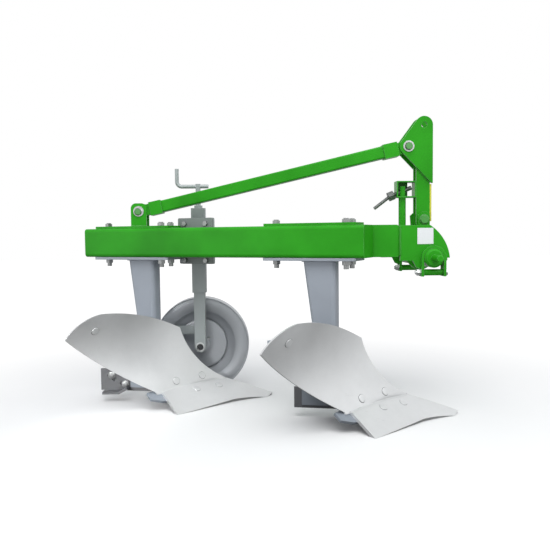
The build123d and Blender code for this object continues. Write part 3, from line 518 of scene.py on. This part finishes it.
class PLOUGH_OT_plating(bpy.types.Operator):
    """Plate the bolts, the wheel axle and the levelling screw"""

    bl_idname = "plough.plating"
    bl_label = "Zinc plating"

    def execute(self, context):
        colours = context.scene.plough_colours
        edge = 0.0006
        thread_pitch = 0.003
        screw_turn = (0, math.radians(22), 0)
        # radii of the strut bolts' washers, and of the middles that show in them and in the axle's end, whose
        # black middle is the painted shade of a socket
        front_washer = 0.018
        rear_washer = 0.016
        pivot_middle = 0.0112
        axle_socket = 0.0105
        zinc = plated_steel("Zinc plating", colours.zinc, edge)
        # clamp and heel bolts get a darker copy of the zinc: painted shade
        shaded_zinc = plated_steel("Shaded zinc plating", shade(colours.zinc, 0.55), edge)
        rod = threaded_steel("Threaded rod", shade(colours.zinc, 0.42), thread_pitch, screw_turn)
        low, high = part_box("strut_bolts")
        pivots = ((high.x - front_washer, high.z - front_washer), (low.x + rear_washer, low.z + rear_washer))
        pale_green = shade(colours.frame_green, 0.75, 0.08)
        pivot = plated_steel("Pivot bolt plating", colours.zinc, edge, pivots, pivot_middle, pale_green)
        low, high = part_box("wheel_axle")
        socket = ((low.x + high.x) / 2, (low.z + high.z) / 2)
        # the axle's end gets a black middle: painted shade in the socket
        socket_shade = (0.035, 0.036, 0.04)
        axle = plated_steel("Axle plating", colours.zinc, edge, (socket,), axle_socket, socket_shade)
        paint_nodes(zinc, ["strap_bolts"])
        paint_nodes(shaded_zinc, ["clamp_bolts"])
        paint_nodes(pivot, ["strut_bolts"])
        paint_nodes(axle, ["wheel_axle"])
        paint_nodes(rod, ["levelling_screw"])
        return {"FINISHED"}


class PLOUGH_OT_sign(bpy.types.Operator):
    """Add the blank sign plate and the marker strip"""

    bl_idname = "plough.sign"
    bl_label = "Sign and marker"

    def execute(self, context):
        colours = context.scene.plough_colours
        side = context.scene.plough_sizes.sign_size
        plate_thickness = 0.0012
        # how far the sign's middle is ahead of the front share's heel, and its height
        sign_ahead = 0.188
        sign_z = 0.576
        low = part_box("right_quadrant_plate")[0]
        middle = Vector((HEELS["front"].x + sign_ahead, low.y - plate_thickness / 2, sign_z))
        shape = bmesh.new()
        add_plate(shape, middle, (side, plate_thickness, side), 0.0004, 1)
        face = sign_face("Sign face", colours.sign_white)
        new_piece("sign_plate", "frame", face, shape)

        # the strip stands on the arm's front edge
        strip_size = (0.0058, 0.008, 0.122)
        strip_z = 0.685
        low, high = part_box("right_headstock_arm")
        middle = Vector((high.x + strip_size[0] / 2, (low.y + high.y) / 2, strip_z))
        shape = bmesh.new()
        add_plate(shape, middle, strip_size, 0.0008, 2)
        yellow = gloss_paint("Marker yellow", colours.marker_yellow, 0)
        new_piece("marker_strip", "frame", yellow, shape)
        return {"FINISHED"}


class PLOUGH_OT_body_bolts(bpy.types.Operator):
    """Add the round bolt heads on the mouldboards and shares"""

    bl_idname = "plough.body_bolts"
    bl_label = "Body bolt heads"

    def execute(self, context):
        radius = context.scene.plough_sizes.bolt_head
        silver = bpy.data.materials["Silver satin paint"]
        dark = bpy.data.materials["Dark grey satin paint"]
        # on the board, distance along the cutting edge and height; on the share, distance up its face instead
        board_bolts = ((-0.228, 0.287), (0.064, 0.0846), (0.171, 0.089))
        share_bolts = ((0.2216, 0.101), (0.129, 0.102))
        # height of a head, and width and height of the dark ring of painted shade round it
        board_head = (0.0036, 0.0010, 0.0016)
        share_head = (0.0028, 0.0006, 0.0012)
        stand_off = 0.4
        for end, heel in HEELS.items():
            heads = bmesh.new()
            shade_rings = bmesh.new()
            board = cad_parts[f"{end}_mouldboard"]
            for along, height in board_bolts:
                start = heel + EDGE * along + Vector((0, 0, height)) - BACK * stand_off
                hit, at, normal, _ = board.ray_cast(start, BACK)
                if not hit:
                    raise RuntimeError(f"no board behind the bolt at {along}, {height}")
                add_head(heads, shade_rings, at, normal, radius, *board_head)
            for along, rise in share_bolts:
                at = heel + EDGE * along + FACE_RISE * rise
                add_head(heads, shade_rings, at, FACE_OUT, radius, *share_head)
            new_piece(f"{end}_body_bolts", "frame", silver, heads)
            # a dark ring of painted shade round each head
            new_piece(f"{end}_bolt_shade_rings", "frame", dark, shade_rings)
        return {"FINISHED"}


class PLOUGH_OT_seams(bpy.types.Operator):
    """Fill the joint between each mouldboard and its share with a painted ribbon"""

    bl_idname = "plough.seams"
    bl_label = "Painted seams"

    def execute(self, context):
        silver = bpy.data.materials["Silver satin paint"]
        width = context.scene.plough_sizes.seam_width
        # places along the cutting edge: the first, the distance between them and how many there are
        first, spacing, count = -0.040, 0.0053, 61
        # places across the ribbon, as shares of half its width
        sides = (-1, -0.33, 0.33, 1)
        # millimetres up the share's face between which its upper edge lies
        lowest, highest = 85, 150
        stand_off = 0.05
        paint_thickness = 0.0004
        for end, heel in HEELS.items():
            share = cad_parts[f"{end}_share"]
            nodes = (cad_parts[f"{end}_mouldboard"], share)
            points = []
            for index in range(count):
                start = heel + EDGE * (first + index * spacing) + FACE_OUT * stand_off
                foot = None
                for step in range(lowest, highest):
                    above = start + FACE_RISE * (step * 0.001)
                    if not share.ray_cast(above, -FACE_OUT, distance=stand_off + 0.002)[0]:
                        break
                    foot = above
                if foot is None:
                    continue
                row = []
                for side in sides:
                    above = foot + FACE_RISE * (width * side)
                    hits = [node.ray_cast(above, -FACE_OUT, distance=stand_off * 2) for node in nodes]
                    spots = [(at, normal) for hit, at, normal, _ in hits if hit]
                    if spots:
                        spot, normal = max(spots, key=lambda pair: pair[0].dot(FACE_OUT))
                        row.append(spot + normal * paint_thickness)
                if len(row) == len(sides):
                    points += row
            shape = bmesh.new()
            grid = bmesh.ops.create_grid(
                shape, x_segments=len(sides) - 1, y_segments=len(points) // len(sides) - 1, size=1
            )
            for vert, point in zip(grid["verts"], points):
                vert.co = point
            new_piece(f"{end}_seam", "frame", silver, shape, FACE_OUT)
        return {"FINISHED"}


class PLOUGH_OT_small_bolts(bpy.types.Operator):
    """Add the heel's two bolts and the grease nipple on the wheel's hub"""

    bl_idname = "plough.small_bolts"
    bl_label = "Heel bolts and hub nipple"

    def execute(self, context):
        zinc = bpy.data.materials["Zinc plating"]
        shaded_zinc = bpy.data.materials["Shaded zinc plating"]
        heel_thickness = 0.010
        heel_bolts = ((-0.5425, 0.0865), (-0.4950, 0.0545))
        # distance out of the plate, radius, height, rounded share of the height and sides of each part
        bolt_parts = ((0, 0.0125, 0.0022, 0.3, 24), (0.002, 0.0095, 0.0075, 0.2, 6))
        plate_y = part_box("rear_heel")[1].y - heel_thickness
        shape = bmesh.new()
        for x, z in heel_bolts:
            for out, radius, height, lip, sides in bolt_parts:
                add_dome(shape, Vector((x, plate_y, z)) + RIGHT * out, RIGHT, radius, height, lip, sides)
        new_piece("heel_bolts", "frame", shaded_zinc, shape)

        # the nipple stands on the hub, this far behind the wheel's near side and at this angle
        nipple_depth = 0.0125
        nipple_angle = 0.68
        # distance from the axle to the start and the end of each part, its radius and its sides
        nipple_parts = ((0.029, 0.036, 0.0055, 6), (0.035, 0.041, 0.0032, 12))
        low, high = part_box("depth_wheel")
        centre = Vector(((low.x + high.x) / 2, low.y + nipple_depth, (low.z + high.z) / 2))
        outward = Vector((math.cos(nipple_angle), 0, math.sin(nipple_angle)))
        shape = bmesh.new()
        for near, far, radius, sides in nipple_parts:
            add_rod(shape, centre + outward * near, centre + outward * far, radius, sides)
        new_piece("hub_nipple", "wheel", zinc, shape)
        return {"FINISHED"}


class PLOUGH_OT_wheel_disc(bpy.types.Operator):
    """Add the pressed disc with its rolled edge round the wheel's hub"""

    bl_idname = "plough.wheel_disc"
    bl_label = "Wheel disc"

    def execute(self, context):
        low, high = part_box("depth_wheel")
        axle = Vector(((low.x + high.x) / 2, 0, (low.z + high.z) / 2))
        # radius, and depth behind the wheel's near side, from the hub out and over the edge
        profile = (
            (0.0302, 0.031), (0.060, 0.0305), (0.086, 0.0300), (0.0905, 0.0306), (0.0925, 0.0325),
            (0.0932, 0.0380),
        )
        shape = bmesh.new()
        ring = [shape.verts.new((axle.x + radius, low.y + depth, axle.z)) for radius, depth in profile]
        edges = [shape.edges.new(pair) for pair in zip(ring, ring[1:])]
        bmesh.ops.spin(shape, geom=ring + edges, cent=axle, axis=Vector((0, 1, 0)), angle=math.tau,
                       steps=96, use_merge=True, use_duplicate=False)
        paint = bpy.data.materials["Wheel grey paint"]
        new_piece("wheel_disc", "wheel", paint, shape, RIGHT)
        return {"FINISHED"}


class PLOUGH_OT_welds(bpy.types.Operator):
    """Add the painted weld beads of the frame and of the legs"""

    bl_idname = "plough.welds"
    bl_label = "Weld beads"

    def execute(self, context):
        radius = context.scene.plough_sizes.weld_radius
        green = bpy.data.materials["Green gloss enamel"]
        grey = bpy.data.materials["Grey satin paint"]
        # heights where the top plate's slanting lower edge meets the arm's front and rear edges
        arm_front_z, arm_rear_z = 0.7525, 0.7995
        # lower and upper end of the seam between the cross member and the quadrant plate
        cross_low_z, cross_high_z = 0.520, 0.604
        # how far each seam stays inside the piece's corners
        arm_inset, plate_inset, lug_inset = 0.001, 0.0005, 0.003
        arm_low, arm_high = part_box("right_headstock_arm")
        plate_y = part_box("right_quadrant_plate")[0].y + plate_inset
        cross_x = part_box("cross_member")[1].x
        lug_low, lug_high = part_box("strut_lugs")
        clamp_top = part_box("rear_clamp_plate")[1].z
        # start and end of each green seam
        seams = [
            (
                (arm_high.x - arm_inset, arm_low.y, arm_front_z),
                (arm_low.x + arm_inset, arm_low.y, arm_rear_z),
            ),
            ((cross_x, plate_y, cross_low_z), (cross_x, plate_y, cross_high_z)),
        ]
        for y in (lug_low.y, lug_high.y):
            seams.append(((lug_low.x + lug_inset, y, clamp_top), (lug_high.x - lug_inset, y, clamp_top)))
        shape = bmesh.new()
        for start, end in seams:
            add_bead(shape, Vector(start), Vector(end), radius)
        new_piece("frame_welds", "frame", green, shape)

        # middle of the leg's head from the heel, and half its size along and across the beam
        head_offset = Vector((-0.133, 0.213, 0.503))
        along = BEAM_RUN * 0.0525
        across = BEAM_ACROSS * 0.0245
        for end, heel in HEELS.items():
            head = heel + head_offset
            corners = [
                head - along - across, head + along - across, head + along + across, head - along + across,
            ]
            shape = bmesh.new()
            for start, stop in zip(corners, corners[1:] + corners[:1]):
                add_bead(shape, start, stop, radius)
            new_piece(f"{end}_leg_welds", "frame", grey, shape)
        return {"FINISHED"}


class PLOUGH_OT_stage(bpy.types.Operator):
    """Set the floor, the lights, the world and the camera"""

    bl_idname = "plough.stage"
    bl_label = "Floor, light and camera"

    def execute(self, context):
        scene = context.scene
        floor_reach = 14
        shape = bmesh.new()
        bmesh.ops.create_grid(shape, x_segments=2, y_segments=2, size=floor_reach)
        mesh = bpy.data.meshes.new("floor")
        shape.to_mesh(mesh)
        shape.free()
        floor = bpy.data.objects.new("floor", mesh)
        scene.collection.objects.link(floor)
        finish = Finish("Pale floor")
        mottle = finish.noise(3, 3)
        seen = finish.node("ShaderNodeLightPath", {}, {}, "Is Camera Ray")
        distance = finish.node("ShaderNodeVectorMath", {"operation": "LENGTH"}, {0: finish.place}, "Value")
        # by metres from the plough's middle, what the camera sees fades to white, and what the floor throws
        # back is darker near the plough, a painted shadow round it
        far = distance.band(0.7, 1.9)
        pale = finish.mix(mottle, (0.86, 0.86, 0.86), (0.90, 0.90, 0.90))
        thrown = finish.mix(distance.band(0.6, 1.6), (0.20, 0.195, 0.19), (0.62, 0.61, 0.60))
        finish.close(
            Base_Color=finish.mix(seen, thrown, finish.mix(far, pale, (0, 0, 0))),
            Roughness=0.7 + mottle * 0.1,
            Emission_Color=finish.mix(far * seen, (0, 0, 0), (1, 1, 1)),
            Emission_Strength=1.0,
        )
        mesh.materials.append(finish.material)

        # the camera and gloss see white, and the plough is lit by a soft, cool grey
        scene.world = bpy.data.worlds.new("Studio")
        sky = Nodes(scene.world)
        camera_ray = sky.node("ShaderNodeLightPath", {}, {}, "Is Camera Ray")
        glossy_ray = sky.node("ShaderNodeLightPath", {}, {}, "Is Glossy Ray")
        seen = sky.node("ShaderNodeMath", {"operation": "MAXIMUM"}, {0: camera_ray, 1: glossy_ray})
        soft = sky.node("ShaderNodeBackground", {}, {"Color": (0.93, 0.96, 1.0), "Strength": 0.60})
        white = sky.node("ShaderNodeBackground", {}, {"Color": (1, 1, 1), "Strength": 1.0})
        chosen = sky.node("ShaderNodeMixShader", {}, {"Fac": seen, 1: soft, 2: white})
        sky.node("ShaderNodeOutputWorld", {}, {"Surface": chosen})

        # name, place, aim, size, power and spread in degrees of each soft lamp
        lamps = (
            ("top", (0.1, -2.1, 3.2), (0, 0, 0.3), 3.0, 104, 180),
            ("left", (-2.9, -1.4, 1.1), (-0.3, 0, 0.3), 1.8, 9, 180),
            ("rear board", (-0.85, -1.75, 0.55), (-0.50, -0.1, 0.09), 0.3, 0.40, 16),
            ("right", (2.9, -1.3, 0.90), (-0.2, 0, 0.3), 2.0, 6, 180),
        )
        for name, place, aim, size, power, spread in lamps:
            lamp = bpy.data.lights.new(name, "AREA")
            lamp.size = size
            lamp.energy = power
            lamp.spread = math.radians(spread)
            holder = bpy.data.objects.new(name, lamp)
            holder.location = place
            holder.rotation_euler = (Vector(aim) - Vector(place)).to_track_quat("-Z", "Y").to_euler()
            scene.collection.objects.link(holder)

        camera = bpy.data.cameras.new("camera")
        camera.sensor_width = 36
        camera.lens = camera.sensor_width * FOCAL_PIXELS / PICTURE_PIXELS
        camera.clip_end = 60
        eye = bpy.data.objects.new("camera", camera)
        eye.location = CAMERA_PLACE
        eye.rotation_euler = [math.radians(angle) for angle in CAMERA_TURN]
        scene.collection.objects.link(eye)
        scene.camera = eye
        scene.view_settings.view_transform = "Standard"
        return {"FINISHED"}


OPERATORS = (
    PLOUGH_OT_stage,
    PLOUGH_OT_frame_paint,
    PLOUGH_OT_body_paint,
    PLOUGH_OT_wheel_paint,
    PLOUGH_OT_plating,
    PLOUGH_OT_sign,
    PLOUGH_OT_body_bolts,
    PLOUGH_OT_seams,
    PLOUGH_OT_small_bolts,
    PLOUGH_OT_wheel_disc,
    PLOUGH_OT_welds,
)


class PLOUGH_PT_sidebar(bpy.types.Panel):
    """Colours, sizes and one button for each group of pieces"""

    bl_label = "Mounted plough"
    bl_idname = "PLOUGH_PT_sidebar"
    bl_space_type = "VIEW_3D"
    bl_region_type = "UI"
    bl_category = "Plough"

    def draw(self, context):
        for group in (context.scene.plough_colours, context.scene.plough_sizes):
            for key in group.__annotations__:
                self.layout.prop(group, key)
        for operator in OPERATORS:
            self.layout.operator(operator.bl_idname)


CLASSES = (PloughColours, PloughSizes, *OPERATORS, PLOUGH_PT_sidebar)


def register():
    """Makes the classes and the two groups of settings known to Blender."""
    for item in CLASSES:
        bpy.utils.register_class(item)
    bpy.types.Scene.plough_colours = bpy.props.PointerProperty(type=PloughColours)
    bpy.types.Scene.plough_sizes = bpy.props.PointerProperty(type=PloughSizes)


def unregister():
    """Takes the settings and the classes away again."""
    del bpy.types.Scene.plough_sizes
    del bpy.types.Scene.plough_colours
    for item in reversed(CLASSES):
        bpy.utils.unregister_class(item)


def main():
    """Builds everything in order."""
    register()
    for operator in OPERATORS:
        group, name = operator.bl_idname.split(".")
        getattr(getattr(bpy.ops, group), name)()


if __name__ == "__main__":
    main()
